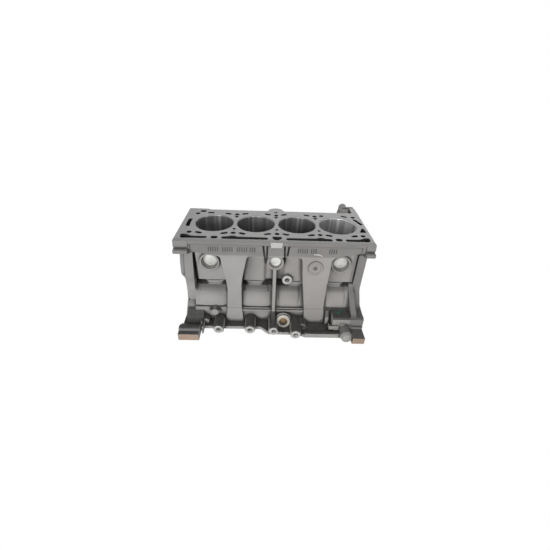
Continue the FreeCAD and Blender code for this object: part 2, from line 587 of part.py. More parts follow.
# Bearing tunnel, cap bolt threads and breather windows
def crank_line():
    cuts = [rod_x(gearbox_end - 1.0, timing_end + 1.0, 0.0, 0.0, tunnel_dia / 2.0)]
    for x in bearing_x:
        for y in (-cap_bolt_y, cap_bolt_y):
            cuts.append(rod_z(x, y, -1.0, cap_bolt_depth, cap_bolt_dia / 2.0))
    for x in (-bore_pitch, 0.0, bore_pitch):
        for y in (-70.0, 70.0):
            cuts.append(rod_x(x - 12.0, x + 12.0, y, 26.0, 8.0))
    return cuts


# Machined end faces: oil seal seats, bolt circles and dowel holes
def end_openings():
    cuts = []
    cuts.append(rod_x(gearbox_end - 1.0, gearbox_end + seal_depth_gearbox, 0.0, 0.0, seal_radius_gearbox))
    cuts.append(rod_x(timing_end - seal_depth_timing, timing_end + 1.0, 0.0, 0.0, seal_radius_timing))
    for turn in (30.0, 60.0, 120.0, 150.0):
        across, up = math.cos(math.radians(turn)), math.sin(math.radians(turn))
        far, near = seal_radius_gearbox + 8.0, seal_radius_timing + 10.0
        cuts.append(rod_x(gearbox_end - 1.0, gearbox_end + seal_screw_depth_gearbox, far * across, far * up, 2.6))
        cuts.append(rod_x(timing_end - seal_screw_depth_timing, timing_end + 1.0, near * across, near * up, 2.6))
    for y, z in gearbox_bolts:
        cuts.append(rod_x(gearbox_end - 1.0, flange_inner_left + 1.0, y, z, 5.1))
    for y, z in gearbox_dowels_at:
        cuts.append(rod_x(gearbox_end - 1.0, gearbox_end + gearbox_dowel_depth, y, z, dowel_outer / 2.0))
    for y, z in timing_bolts:
        cuts.append(rod_x(timing_end - timing_bolt_depth, timing_end + 1.0, y, z, 4.2))
    for y, z in timing_dowels_at:
        cuts.append(rod_x(timing_end - timing_dowel_depth, timing_end + 1.0, y, z, timing_dowel_outer / 2.0))
    cuts.append(rod_x(gearbox_end - 1.0, timing_end + 1.0, gallery_y, gallery_z, gallery_dia / 2.0))
    return cuts


# Threaded holes of bosses, core plug seats and oil ways
def wall_openings():
    cuts = []
    for x, z, face in bracket_bosses:
        cuts.append(rod_y(x, face - 1.0, face + bracket_hole_depth, z, bracket_hole_dia / 2.0))
    cuts.append(rod_y(sensor_x, sensor_face - 1.0, -54.0, sensor_z, 4.2))
    for x in (-side_plug_x, side_plug_x):
        cuts.append(rod_y(x, side_plug_face - 1.0, -49.0, side_plug_z, plug_outer_radius))
        cuts.append(rod_y(x, 49.0, -side_plug_face + 1.0, side_plug_z, plug_outer_radius))
    cuts.append(rod_y(rear_plug_x, 49.0, -side_plug_face + 1.0, side_plug_z, plug_outer_radius))
    cuts.append(rod_y(centre_plug_x, centre_plug_face - 1.0, -30.0, centre_plug_z, centre_plug_radius))
    tilt = math.radians(screw_plug_tilt)
    nose = FreeCAD.Vector(0, -math.cos(tilt), math.sin(tilt))
    seat = point(screw_plug_x, screw_plug_y, screw_plug_z)
    cuts.append(Part.makeCylinder(11.0, 26.0, seat - nose * 24.0, nose))
    cuts.append(Part.makeCylinder(screw_plug_head + screw_plug_gap, 40.0, seat, nose))
    cuts.append(rod_y(-104.0, 48.0, 73.0, 118.0, 7.0))
    for x, z in mount_bosses:
        cuts.append(rod_y(x, 74.0, 97.0, z, 4.2))
    for x, z in filter_screws:
        cuts.append(rod_y(x, 82.0, 101.0, z, 3.4))
    cuts.append(rod_y(-46.0, 62.0, 101.0, gallery_z - 2.0, 6.0))
    cuts.append(rod_y(-46.0, 80.0, 101.0, 52.0, 12.0))
    return cuts


# Sump screw holes in the foot rails
def sump_holes():
    cuts = []
    for away in sump_screw_x:
        for x in (-away, away):
            for y in (-sump_screw_y, sump_screw_y):
                cuts.append(rod_z(x, y, -1.0, 6.0, 3.0))
    return cuts


def pump_openings():
    cuts = [rod_x(pump_back + 8.0, timing_end + 1.0, pump_y, pump_z, pump_inner)]
    cuts.append(rod_y(pump_back + 20.0, 46.0, pump_y, pump_z - 8.0, 9.0))
    for turn in (75.0, 195.0, 315.0):
        a = math.radians(turn)
        cuts.append(rod_x(timing_end - 14.0, timing_end + 1.0, pump_y + 30.0 * math.cos(a),
                          pump_z + 30.0 * math.sin(a), 2.0))
    return cuts


def engine_block():
    columns, rib = front_columns()
    body = joined([cylinder_bank(), deck_plate(), columns, rib, crankcase()] + bulge_pads() + rails()
                  + wall_ribs() + gearbox_flange() + timing_flange() + feet() + front_bracket_block()
                  + front_bosses() + core_bosses() + rear_details() + pump_housing())
    body = body.cut(crank_bays())
    body = body.fuse(saddles() + barrel_feet())
    jacket = water_jacket()
    body = body.cut([jacket] + bores() + deck_openings() + edge_pockets() + crank_line()
                    + end_openings() + wall_openings() + sump_holes() + pump_openings())
    return body


# Main bearing cap with its half tunnel and bolt holes
def main_cap(x):
    half = cap_thickness / 2.0
    w = cap_half_width
    cap = prism_x([(-w, 0.0, 0.0), (w, 0.0, 0.0), (w, -cap_seat_depth, 3.0), (29.0, -cap_seat_depth, 3.0),
                   (22.0, -cap_depth, 5.0), (-22.0, -cap_depth, 5.0), (-29.0, -cap_seat_depth, 3.0),
                   (-w, -cap_seat_depth, 3.0)], x - half, x + half)
    cap = cap.cut(rod_x(x - half - 1.0, x + half + 1.0, 0.0, 0.0, tunnel_dia / 2.0))
    for y in (-cap_bolt_y, cap_bolt_y):
        cap = cap.cut(rod_z(x, y, -60.0, 1.0, cap_bolt_hole / 2.0))
    return cap


def hexagon(x, y, z0, z1, across):
    r = across / 2.0 / math.cos(math.radians(30.0))
    corners = []
    for i in range(6):
        a = math.radians(60.0 * i)
        corners.append((x + r * math.cos(a), y + r * math.sin(a)))
    return prism_z(corners, z0, z1)


# Main bearing cap bolts, one solid each
def cap_bolts():
    bolts = []
    seat = -cap_seat_depth
    for x in bearing_x:
        for y in (-cap_bolt_y, cap_bolt_y):
            shank = rod_z(x, y, seat, cap_bolt_depth - 4.0, cap_bolt_dia / 2.0)
            collar = rod_z(x, y, seat - 2.0, seat, 9.6)
            head = hexagon(x, y, seat - 9.0, seat - 1.0, 15.0)
            bolts.append(shank.fuse([collar, head]).removeSplitter())
    return bolts


# Pressed cup closing a core hole; open side outwards
def core_plug(x, z, face, out, radius, depth):
    start = face - out * 1.5
    cup = Part.makeCylinder(radius, depth, point(x, start, z), FreeCAD.Vector(0, -out, 0))
    inner = Part.makeCylinder(radius - 1.8, depth - 2.0, point(x, start, z), FreeCAD.Vector(0, -out, 0))
    return cup.cut(inner)


# Large screw plug with hexagon socket, and the sealing ring under its head
def screw_plug():
    plug = rod_z(0.0, 0.0, -18.0, 1.6, 11.0)
    head = rod_z(0.0, 0.0, 1.6, 7.6, screw_plug_head)
    top = [e for e in head.Edges if e.BoundBox.ZMin > 7.5]
    head = head.makeChamfer(1.2, top)
    socket = hexagon(0.0, 0.0, -2.0, 8.6, 17.0)
    return plug.fuse(head).cut(socket).removeSplitter()


def sealing_ring():
    return rod_z(0.0, 0.0, 0.0, 1.6, 15.0).cut(rod_z(0.0, 0.0, -1.0, 2.6, 11.0))


def tilt_to_front(shape):
    moved = shape.copy()
    moved.rotate(point(0, 0, 0), X_AXIS, 90.0 - screw_plug_tilt)
    moved.translate(point(screw_plug_x, screw_plug_y, screw_plug_z))
    return moved


def gallery_plug(x, out):
    plug = Part.makeCylinder(gallery_dia / 2.0, 12.0, point(x, gallery_y, gallery_z), FreeCAD.Vector(-out, 0, 0))
    corners = []
    for i in range(6):
        a = math.radians(60.0 * i)
        corners.append((gallery_y + 4.6 * math.cos(a), gallery_z + 4.6 * math.sin(a)))
    socket = prism_x(corners, min(x, x - out * 6.0), max(x, x - out * 6.0))
    return plug.cut(socket)


# Hollow locating dowel: seat in the casting, relief groove at the face, free end
def dowel(face, out, deep, proud, y, z, outer, inner):
    way = FreeCAD.Vector(out, 0, 0)
    seat = Part.makeCylinder(outer / 2.0, deep, point(face - out * deep, y, z), way)
    neck = Part.makeCylinder(outer / 2.0 - 0.5, dowel_groove, point(face, y, z), way)
    free = Part.makeCylinder(outer / 2.0, proud - dowel_groove, point(face + out * dowel_groove, y, z), way)
    hole = Part.makeCylinder(inner / 2.0, deep + proud + 2.0, point(face - out * (deep + 1.0), y, z), way)
    return seat.fuse([neck, free]).cut(hole)


def drain_plug():
    body = rod_y(-104.0, 60.0, 72.0, 118.0, 7.0)
    head = rod_y(-104.0, 72.0, 74.0, 118.0, 10.0)
    corners = []
    for i in range(6):
        a = math.radians(60.0 * i)
        corners.append((-104.0 + 8.0 * math.cos(a), 118.0 + 8.0 * math.sin(a)))
    return joined([body, head, prism_y(corners, 74.0, 81.0)]).removeSplitter()


def save(shape, name):
    shape.exportStep("parts/" + name + ".step")
    print(name, "solids", len(shape.Solids), "valid", shape.isValid(), "volume", round(shape.Volume / 1000.0, 1))


os.makedirs("parts", exist_ok=True)
save(engine_block(), "engine_block")
for number, x in enumerate(bearing_x):
    save(main_cap(x), "main_cap_" + str(number + 1))
save(Part.makeCompound(cap_bolts()), "main_cap_bolts")
save(core_plug(-side_plug_x, side_plug_z, side_plug_face + 1.5, -1, plug_outer_radius, plug_depth), "core_plug_front_left")
save(core_plug(side_plug_x, side_plug_z, side_plug_face + 1.5, -1, plug_outer_radius, plug_depth), "core_plug_front_right")
save(core_plug(centre_plug_x, centre_plug_z, centre_plug_face + 1.0, -1, centre_plug_radius, centre_plug_depth),
     "core_plug_front_centre")
save(core_plug(-side_plug_x, side_plug_z, -side_plug_face - 1.5, 1, plug_outer_radius, plug_depth), "core_plug_rear_left")
save(core_plug(rear_plug_x, side_plug_z, -side_plug_face - 1.5, 1, plug_outer_radius, plug_depth), "core_plug_rear_centre")
save(core_plug(side_plug_x, side_plug_z, -side_plug_face - 1.5, 1, plug_outer_radius, plug_depth), "core_plug_rear_right")
save(tilt_to_front(screw_plug()), "screw_plug")
save(tilt_to_front(sealing_ring()), "screw_plug_ring")
save(gallery_plug(gearbox_end + 1.0, -1), "gallery_plug_gearbox_end")
save(gallery_plug(timing_end - 1.0, 1), "gallery_plug_timing_end")
save(drain_plug(), "coolant_drain_plug")
save(Part.makeCompound([dowel(gearbox_end, -1, gearbox_dowel_depth, dowel_proud, y, z, dowel_outer, dowel_inner)
                        for y, z in gearbox_dowels_at]), "gearbox_dowels")
save(Part.makeCompound([dowel(timing_end, 1, timing_dowel_depth, timing_dowel_proud, y, z, timing_dowel_outer,
                              timing_dowel_inner) for y, z in timing_dowels_at]), "timing_dowels")
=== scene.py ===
# %% [markdown]
# # Looks for a bare engine block
# The solids of the block come from CAD and are loaded as a fixed frame.
# This lesson dresses them: cast and machined iron, pressed plugs, threads,
# cast marks and the studio around them. Blender works in metres here. Lengths
# on the part are given in millimetres, as on a workshop drawing, and mm turns
# them into metres.

# %% Load the frame
import math
import random
import bpy
from mathutils import Matrix, Vector


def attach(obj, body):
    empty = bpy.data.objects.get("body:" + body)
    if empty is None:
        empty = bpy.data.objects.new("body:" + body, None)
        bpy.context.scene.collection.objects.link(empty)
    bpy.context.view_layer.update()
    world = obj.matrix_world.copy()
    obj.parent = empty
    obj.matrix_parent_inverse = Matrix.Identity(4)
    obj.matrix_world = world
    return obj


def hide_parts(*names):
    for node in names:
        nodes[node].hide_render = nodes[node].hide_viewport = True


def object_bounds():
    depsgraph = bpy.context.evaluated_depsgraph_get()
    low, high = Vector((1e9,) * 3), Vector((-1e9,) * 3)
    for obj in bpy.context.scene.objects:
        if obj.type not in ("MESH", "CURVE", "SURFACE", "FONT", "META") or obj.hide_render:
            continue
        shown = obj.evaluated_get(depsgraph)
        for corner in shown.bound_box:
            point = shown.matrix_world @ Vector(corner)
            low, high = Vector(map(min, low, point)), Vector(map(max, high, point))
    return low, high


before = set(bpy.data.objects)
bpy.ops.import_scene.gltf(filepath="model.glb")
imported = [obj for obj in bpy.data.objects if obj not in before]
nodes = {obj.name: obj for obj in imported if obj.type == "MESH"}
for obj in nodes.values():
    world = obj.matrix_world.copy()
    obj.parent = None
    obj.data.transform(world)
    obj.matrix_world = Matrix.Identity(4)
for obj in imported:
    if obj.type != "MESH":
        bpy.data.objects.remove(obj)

cad_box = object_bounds()
mm = 0.001
print("CAD nodes", len(nodes), "box", [round(v, 4) for v in cad_box[1] - cad_box[0]])

# %% [markdown]
# ## Shader maths as plain expressions
# A mask such as "machined where the height is above 199.9 mm" is a chain of
# Math nodes. Wiring them by hand hides the thought, so a socket is wrapped in
# a small class and Python's own operators add the nodes.


# %% A socket that does sums
class Wire:
    def __init__(self, finish, socket):
        self.finish = finish
        self.socket = socket

    def beside(self, output):
        """Another output of the same node."""
        return Wire(self.finish, self.socket.node.outputs[output])

    def math(self, operation, *others):
        inputs = {0: self}
        for i, other in enumerate(others):
            inputs[i + 1] = other
        return self.finish.add("ShaderNodeMath", {"operation": operation}, inputs)

    def __add__(self, other):
        return self.math("ADD", other)

    def __radd__(self, other):
        return self.math("ADD", other)

    def __sub__(self, other):
        return self.math("SUBTRACT", other)

    def __rsub__(self, other):
        return self.finish.add("ShaderNodeMath", {"operation": "SUBTRACT"}, {0: other, 1: self})

    def __mul__(self, other):
        return self.math("MULTIPLY", other)

    def __rmul__(self, other):
        return self.math("MULTIPLY", other)

    def __truediv__(self, other):
        return self.math("DIVIDE", other)

    def __abs__(self):
        return self.math("ABSOLUTE")

    def least(self, other):
        return self.math("MINIMUM", other)

    def most(self, other):
        return self.math("MAXIMUM", other)

    def power(self, other):
        return self.math("POWER", other)

    def ramp(self, low, high):
        """0 below low and 1 above high, smooth between them."""
        ends = {"Value": self, "From Min": low, "From Max": high, "To Min": 0.0, "To Max": 1.0}
        smooth = {"interpolation_type": "SMOOTHSTEP"}
        return self.finish.add("ShaderNodeMapRange", smooth, ends, "Result")

    def fall(self, low, high):
        """1 below low and 0 above high, smooth between them."""
        return 1.0 - self.ramp(low, high)

    def within(self, low, high, soft=0.3 * mm):
        return self.ramp(low - soft, low) * self.fall(high, high + soft)


def any_of(masks):
    """1 where one of the masks is 1."""
    whole = masks[0]
    for mask in masks[1:]:
        whole = whole.most(mask)
    return whole


# %% [markdown]
# ### One method for every other node
# Noise, bevels, mixes and the light path of the studio are all added the same
# way: the node's type, its settings, and then a value or a wire for each
# socket. The world has a node tree of its own, so the method lives in a class
# that takes any tree, and a material's finish is a child of it.


# %% Any node with one method
class NodeTree:
    def __init__(self, tree):
        self.tree = tree

    def add(self, kind, settings=None, inputs=None, output=0):
        node = self.tree.nodes.new(kind)
        for name, value in (settings or {}).items():
            setattr(node, name, value)
        for name, value in (inputs or {}).items():
            self.feed(node.inputs[name], value)
        return Wire(self, node.outputs[output])

    def feed(self, socket, value):
        if isinstance(value, Wire):
            self.tree.links.new(value.socket, socket)
        elif socket.type == "RGBA" and len(value) == 3:
            socket.default_value = (*value, 1.0)
        else:
            socket.default_value = value

    def seen(self):
        """1 for what the camera and the mirrors see, 0 for light."""
        camera_ray = self.add("ShaderNodeLightPath", output="Is Camera Ray")
        return camera_ray.most(camera_ray.beside("Is Glossy Ray"))


# %% A material's finish
class Finish(NodeTree):
    def __init__(self, name):
        self.material = bpy.data.materials.new(name)
        self.material.use_nodes = True
        super().__init__(self.material.node_tree)
        self.shader = self.tree.nodes["Principled BSDF"]

    def set(self, **values):
        for name, value in values.items():
            self.feed(self.shader.inputs[name.replace("_", " ")], value)

    def place(self):
        """Where a point lies on the piece, in metres."""
        return self.add("ShaderNodeTexCoord", output="Object")

    def facing(self):
        """The way the surface truly faces."""
        return self.add("ShaderNodeNewGeometry", output="True Normal")

    def split(self, vector):
        x = self.add("ShaderNodeSeparateXYZ", None, {0: vector})
        return x, x.beside(1), x.beside(2)

    def noise(self, at, scale, detail, rough, stretch=(1, 1, 1)):
        moved = self.add("ShaderNodeMapping", None, {"Vector": at, "Scale": stretch})
        grain = {"Vector": moved, "Scale": scale, "Detail": detail, "Roughness": rough}
        return self.add("ShaderNodeTexNoise", None, grain, "Fac")

    def lines(self, along, detail=2.0, rough=0.5):
        """A noise of one number, which stays the same across it."""
        grain = {"W": along, "Detail": detail, "Roughness": rough}
        return self.add("ShaderNodeTexNoise", {"noise_dimensions": "1D"}, grain, "Fac")

    def mix(self, factor, first, second):
        return self.add("ShaderNodeMix", {"data_type": "RGBA"}, {0: factor, 6: first, 7: second}, 2)

    def stroke(self, u, v, start, end, width, soft):
        """1 along a line between two places, 0 beside it."""
        du, dv = end[0] - start[0], end[1] - start[1]
        along = ((u - start[0]) * du + (v - start[1]) * dv) / (du * du + dv * dv)
        along = along.most(0.0).least(1.0)
        off_u = u - start[0] - along * du
        off_v = v - start[1] - along * dv
        return (off_u * off_u + off_v * off_v).power(0.5).fall(width / 2, width / 2 + soft)

    def nook(self, samples, reach, own_shape_only=False):
        """1 in the open and 0 deep in a corner."""
        settings = {"samples": samples, "only_local": own_shape_only}
        return self.add("ShaderNodeAmbientOcclusion", settings, {"Distance": reach}, "AO")

    def bump(self, strength, depth, height, rounding):
        """A relief, on edges that the light sees rounded."""
        soft = self.add("ShaderNodeBevel", {"samples": 4}, {"Radius": rounding})
        relief = {"Strength": strength, "Distance": depth, "Height": height, "Normal": soft}
        return self.add("ShaderNodeBump", None, relief)


# %% [markdown]
# ## Cast and machined iron
# One material covers the casting. The foundry skin is a warm grey with a fine
# sandy grain, darker where dirt stays in the corners. A milling cutter has
# skimmed the head face, the end faces and the boss rims, which are smooth,
# lighter and mirror the studio. The honed bores carry crossed fine lines.
# Separate materials on chosen faces would also do, but the CAD mesh is left
# as it is, so masks on the part's own coordinates pick the places instead.
#
# All masks start from the same few wires: the place, how far a face looks up,
# the way to the nearest bore axis and round it, and four noises the size of
# sand grains, lumps, stains and cutter streaks. They are made once.

# %% Wires that the masks of the casting share
bore_radius = 39.75 * mm
bore_pitch = 88.0 * mm


class Iron(Finish):
    def __init__(self, name):
        super().__init__(name)
        at = self.place()
        self.x, self.y, self.z = self.split(at)
        self.up = self.split(self.facing())[2]
        repeated = (self.x + 2.0 * bore_pitch).math("MODULO", bore_pitch)
        self.from_axis = repeated - bore_pitch / 2
        self.turn = self.y.math("ARCTAN2", self.from_axis) * bore_radius
        self.sand = self.noise(at, 900.0, 4.0, 0.65)
        self.lumps = self.noise(at, 130.0, 3.0, 0.5)
        self.cloud = self.noise(at, 14.0, 4.0, 0.6)
        self.streak = self.noise(at, 40.0, 3.0, 0.6, (30.0, 2.0, 2.0))


# %% [markdown]
# ### Where the cutters went
# A skimmed face is a slice 0.1 mm thin in one coordinate, and the way it looks
# keeps the walls of its holes out. A boss face is a disc round its own hole,
# dark at the rim where the thread starts. The bores are one cylinder, repeated
# along the block. Two feet were machined too, and have rusted to tan since.

# %% Skimmed faces
deck = 200.0 * mm
gearbox_end = -199.5 * mm
timing_end = 193.0 * mm
skim = 0.1 * mm


def head_face(f):
    return f.z.ramp(deck - 2 * skim, deck - skim) * f.up.ramp(0.9, 0.95)


def end_and_sump_faces(f):
    timing_face = f.x.ramp(timing_end - 2 * skim, timing_end - skim)
    gearbox_face = f.x.fall(gearbox_end + skim, gearbox_end + 2 * skim)
    sump_face = f.z.fall(skim, 2 * skim) * (0.0 - f.up).ramp(0.9, 0.95)
    return (timing_face + gearbox_face).least(1.0).most(sump_face)


def front_pad(f):
    """The small pad that interrupts the front band."""
    face = f.y.fall(-83.9 * mm, -83.8 * mm)
    return face * f.z.within(188.4 * mm, 201.0 * mm) * f.x.within(-12.2 * mm, 10.2 * mm)


# %% Boss faces, bores and feet
# Each boss: x and z of its axis, y of its face, and its radius.
bosses = [(-119.0, 12.5, -130.0, 10.6), (-52.0, 12.5, -130.0, 10.6), (-1.0, 12.5, -133.0, 10.6),
          (45.5, 12.0, -142.0, 10.6), (25.8, 100.0, -66.5, 11.2), (141.0, 17.0, -121.2, 13.8)]
largest_threaded = 12.0


def boss_faces(f):
    """The ring faces, and the lead-in of the threads in them."""
    rings, lead_ins = [], []
    for boss_x, boss_z, face, radius in bosses:
        off_x, off_z = f.x - boss_x * mm, f.z - boss_z * mm
        across = (off_x * off_x + off_z * off_z).power(0.5)
        on_face = abs(f.y - face * mm).fall(0.2 * mm, 0.4 * mm)
        rings.append(across.fall((radius - 0.2) * mm, radius * mm) * on_face)
        if radius < largest_threaded:
            lead_ins.append(rings[-1] * across.fall(5.0 * mm, 5.6 * mm))
    return any_of(rings), any_of(lead_ins)


def bore_walls(f):
    across = (f.from_axis * f.from_axis + f.y * f.y).power(0.5)
    wall = across.fall(bore_radius + 0.4 * mm, bore_radius + 0.6 * mm)
    return wall * f.z.ramp(68.0 * mm, 69.0 * mm) * f.x.within(-175.0 * mm, 175.0 * mm)


def foot_faces(f):
    gearbox_foot = f.y.fall(-149.8 * mm, -149.6 * mm) * f.x.fall(-157.0 * mm, -156.8 * mm)
    timing_foot = f.y.fall(-153.8 * mm, -153.6 * mm) * f.x.ramp(164.0 * mm, 164.2 * mm)
    return (gearbox_foot + timing_foot).least(1.0)


print("machined bosses", len(bosses))

# %% [markdown]
# ### Foundry skin
# Sand leaves iron grey and grainy, and it is a little bluer at the gearbox end.
# Shade is painted over it: the low ledges that face up are painted near black,
# the corners that the Ambient Occlusion node finds are painted dark, a painted
# shadow line runs under the step of the band, and the rod behind the round dome
# is painted dark. Each is one more Mix over the skin so far, as a painter lays
# washes. One noise of shade over everything would be quicker, but it wouldn't
# know a ledge from a wall.


# %% Clean skin
def shade(colour, factor):
    return tuple(v * factor for v in colour)


cast_grey = (0.315, 0.303, 0.292)
cast_cool = (0.27, 0.285, 0.31)


def foundry_skin(f):
    skin = f.mix(f.cloud.ramp(0.35, 0.70), cast_grey, shade(cast_grey, 0.88))
    cooler = f.mix(0.22, skin, cast_cool)
    skin = f.mix(f.x.ramp(-200.0 * mm, 50.0 * mm), cooler, skin)
    return f.mix(f.sand.ramp(0.50, 0.80) * 0.30, skin, shade(cast_grey, 1.30))


# %% Painted shade on ledges, in corners, under the band's step and on the rod
painted_ledge_shade = (0.022, 0.022, 0.021)
shade_and_seam_dark = (0.040, 0.038, 0.037)
painted_stem_shade = (0.085, 0.083, 0.080)


def painted_ledge_and_corner_shade(f, skin):
    dome = f.x.within(139.0 * mm, 166.0 * mm) * f.y.fall(-122.5 * mm, -121.5 * mm)
    low_and_forward = f.z.fall(41.0 * mm, 47.0 * mm) * f.y.fall(-86.0 * mm, -80.0 * mm)
    # Painted shade: the low ledges at the front that face up are painted near black.
    ledge = f.up.ramp(0.25, 0.75) * low_and_forward * (1.0 - dome)
    skin = f.mix(ledge * (0.80 + f.lumps * 0.2), skin, painted_ledge_shade)
    # Painted shade: the corners that the Ambient Occlusion node finds are painted dark.
    corner = (1.0 - f.nook(8, 12.0 * mm, True)).ramp(0.08, 0.45)
    skin = f.mix(corner * 0.94, skin, shade_and_seam_dark)
    # Painted shadow: a dark line under the step of the band, beside the pad.
    under_band = f.z.within(192.2 * mm, 193.2 * mm, 0.4 * mm) * f.y.fall(-81.8 * mm, -81.2 * mm)
    beside_pad = f.x.within(-170.0 * mm, 169.0 * mm) * (1.0 - f.x.within(-12.5 * mm, 10.5 * mm))
    skin = f.mix(under_band * beside_pad * (0.35 + f.lumps * 0.5), skin, shade_and_seam_dark)
    # Painted shade: the rod behind the round dome is painted dark, so only the dome looks light.
    return f.mix(dome * f.y.ramp(-144.0 * mm, -140.0 * mm) * 0.75, skin, painted_stem_shade)


# %% [markdown]
# ### Painted shade on the band and the ends
# The band and both ends are painted darker as shade, and the flat of the lower
# wall shows the faint line where the mould parted.

# %% Painted shade on the band and ends, and the mould's line
painted_band_and_end_shade = (0.10, 0.097, 0.094)


def painted_shade_and_seam(f, skin):
    band = f.z.within(172.0 * mm, 199.0 * mm, 6.0 * mm) * f.y.fall(-81.0 * mm, -79.0 * mm)
    timing_side = f.x.ramp(160.0 * mm, 166.0 * mm) * f.y.fall(-50.0 * mm, -30.0 * mm)
    gearbox_side = (f.x.fall(-176.0 * mm, -168.0 * mm) * f.z.ramp(80.0 * mm, 100.0 * mm)
                    * f.y.fall(-40.0 * mm, -30.0 * mm))
    # Painted shade: the band and both ends are painted darker.
    band_and_end_shade = any_of([band, timing_side, gearbox_side * 0.6])
    skin = f.mix(band_and_end_shade * (0.36 + f.cloud * 0.30), skin, painted_band_and_end_shade)
    seam = (f.z.within(43.0 * mm, 44.2 * mm, 0.9 * mm) * f.y.fall(-91.5 * mm, -90.5 * mm)
            * f.x.within(-108.0 * mm, 112.0 * mm))
    return f.mix(seam * (0.20 + f.lumps * 0.20), skin, shade_and_seam_dark)


# %% [markdown]
# ### The gaps under the water jacket
# Between the jacket and the crankcase every bay has a deep gap. Its corners are
# painted black as shade. In its middle the skirt of the cylinder comes forward,
# with a painted highlight on it under a painted shadow line, and the top of each
# barrel is painted dark as shade. The distance from the nearest bore axis tells
# the corners from the middle, so one mask serves all four bays.

# %% Painted shade and highlight in the bays, and painted shade in the holes of the head face
painted_gap_shade = (0.016, 0.015, 0.015)
painted_skirt_highlight = (0.36, 0.35, 0.34)
painted_barrel_top_shade = (0.080, 0.078, 0.075)
hole_black = (0.010, 0.010, 0.010)


def painted_light_in_bays(f, skin):
    bays = f.x.within(-171.5 * mm, 165.5 * mm, 1.0 * mm)
    gap = (f.y.within(-56.0 * mm, -30.0 * mm, 2.0 * mm)
           * f.z.within(79.0 * mm, 94.2 * mm, 3.0 * mm) * bays)
    corner = (abs(f.from_axis) + (94.0 * mm - f.z) * 0.9).ramp(22.0 * mm, 30.0 * mm)
    # Painted shade: the corners of the gap are painted black.
    skin = f.mix(gap * corner * 0.9, skin, painted_gap_shade)
    # Painted highlight: the skirt in the middle of the gap is painted light.
    skin = f.mix(gap * (1.0 - corner) * 0.6, skin, painted_skirt_highlight)
    # Painted shadow: a dark band along the top of the gap.
    skin = f.mix(gap * f.z.ramp(85.2 * mm, 87.2 * mm) * 0.80, skin, shade_and_seam_dark)
    # Painted shade: the tops of the barrels are painted dark.
    barrel_top = (f.z.ramp(67.0 * mm, 76.0 * mm) * f.z.fall(88.0 * mm, 93.0 * mm)
                  * f.y.within(-74.0 * mm, -45.0 * mm, 3.0 * mm) * bays)
    return f.mix(barrel_top * (1.0 - gap) * 0.62, skin, painted_barrel_top_shade)


def painted_shade_in_holes(f, skin, bores):
    """Painted shade on the walls of the water slots and drillings, but not of the bores."""
    sunk = (f.z.within(172.0 * mm, 199.7 * mm) * f.y.within(-76.0 * mm, 66.0 * mm)
            * f.x.within(-196.0 * mm, 191.0 * mm))
    return f.mix(sunk * (1.0 - bores) * 0.92, skin, hole_black)


# %% [markdown]
# ### Cut metal
# A face mill leaves faint streaks along its path. The head face is darker
# towards its front edge, and is painted darker towards the gearbox end as shade.
# The hone moves up and down as it turns, so its lines cross. Each set of lines
# is a noise of one number: the way round the bore, plus or minus the height.
# The bores carry painted reflection stripes, painted brighter in the last bore.

# %% Milled colour
milled = (0.315, 0.315, 0.312)
darker_front = (0.13, 0.13, 0.13)
painted_gearbox_end_shade = (0.17, 0.17, 0.17)
pad_grey = (0.50, 0.49, 0.48)
ring_light, ring_dark = (0.56, 0.55, 0.53), (0.42, 0.41, 0.39)
lead_in_dark = (0.07, 0.068, 0.065)


def milled_colour(f, top, pad, rings, lead_ins):
    cut = f.mix(f.streak.ramp(0.3, 0.7), shade(milled, 0.88), milled)
    cut = f.mix(top * f.y.fall(-80.0 * mm, -66.0 * mm) * 0.55, cut, darker_front)
    # Painted shade: the head face is painted darker towards the gearbox end.
    cut = f.mix(top * f.x.fall(-196.0 * mm, -150.0 * mm) * 0.35, cut, painted_gearbox_end_shade)
    cut = f.mix(pad, cut, pad_grey)
    cut = f.mix(rings, cut, f.mix(f.lumps.ramp(0.35, 0.65), ring_light, ring_dark))
    return f.mix(lead_ins * 0.85, cut, lead_in_dark)


# %% Honed colour with painted reflection stripes, and the hone's lines
honed_dark, painted_bore_reflection = (0.25, 0.25, 0.252), (0.50, 0.50, 0.505)
painted_lit_last_dark, painted_lit_last_reflection = (0.48, 0.48, 0.482), (0.80, 0.80, 0.805)
scratch_light = (0.75, 0.75, 0.75)
hone_slope = 0.9


def honed_colour_and_painted_reflections(f):
    # Painted reflection: light and dark stripes round each bore, painted brighter in the last bore.
    painted_light_last_bore = f.x.ramp(86.0 * mm, 90.0 * mm)
    painted_reflection_stripe = f.lines(f.turn * 34.0 + f.x * 60.0, 1.5, 0.55)
    honed = f.mix(painted_reflection_stripe.ramp(0.42, 0.72), f.mix(painted_light_last_bore, honed_dark, painted_lit_last_dark),
                  f.mix(painted_light_last_bore, painted_bore_reflection, painted_lit_last_reflection))
    scratch = f.lines(f.turn * 260.0).ramp(0.45, 0.75)
    return f.mix(scratch * 0.25, honed, scratch_light)


def crossed_lines(f):
    rising, falling = [f.lines((f.turn + f.z * slope) * 900.0)
                       for slope in (hone_slope, -hone_slope)]
    return rising + falling


# %% [markdown]
# ### Scuff and crayon tick
# A scuff has laid the iron bare on the band, and the bracket block carries a
# tick in wax crayon. Both are strokes between two places. The sand grain
# breaks them up, because a rub or a crayon only touches the high grains.

# %% Strokes on the skin
bare_iron = (0.72, 0.72, 0.71)
crayon = (0.010, 0.130, 0.100)
wobble = 2.0 * mm


def points(*pairs):
    return [(a * mm, b * mm) for a, b in pairs]


